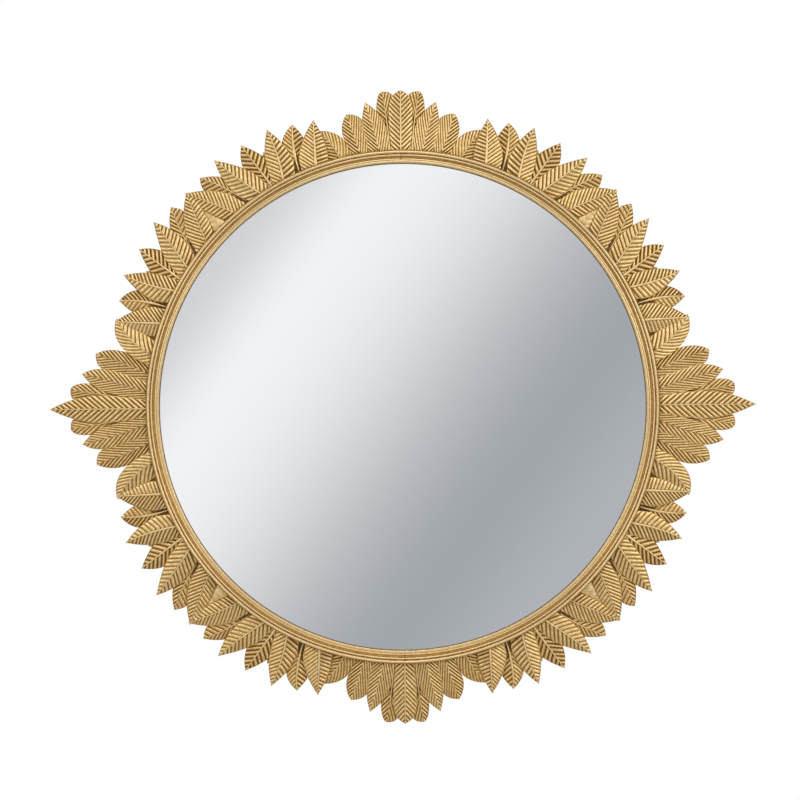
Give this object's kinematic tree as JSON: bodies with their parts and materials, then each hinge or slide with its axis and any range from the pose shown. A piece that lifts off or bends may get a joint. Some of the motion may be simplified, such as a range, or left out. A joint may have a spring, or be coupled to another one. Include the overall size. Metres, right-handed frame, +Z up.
{
  "type": "round wall mirror with leaf frame",
  "caption": "Round wall mirror in a gilt cast frame of overlapping veined leaves round a beaded rim, pointed at top, bottom and sides, with a flat back for hanging on a wall.",
  "frame": {"origin": "centre of the flat back, on the backing board's back face, which lies on the wall", "axes": "+X to the right seen from the front, +Z up, the mirror faces -Y, and +Y points into the wall"},
  "size_m": [0.87, 0.024, 0.7808],
  "materials": {
    "gilt_resin": "antique gold leaf over cast resin, brown glaze in the grooves",
    "mirror": "silvered glass",
    "fibreboard": "bare medium density fibreboard",
    "zinc": "zinc plated steel"
  },
  "bodies": {
    "root": {"leaf_frame": "gilt_resin", "mirror_glass": "mirror", "backing_board": "fibreboard", "keyhole_plate_left": "zinc", "keyhole_plate_right": "zinc", "plate_screw_left_1": "zinc", "plate_screw_left_2": "zinc", "plate_screw_right_1": "zinc", "plate_screw_right_2": "zinc"}
  },
  "joints": []
}
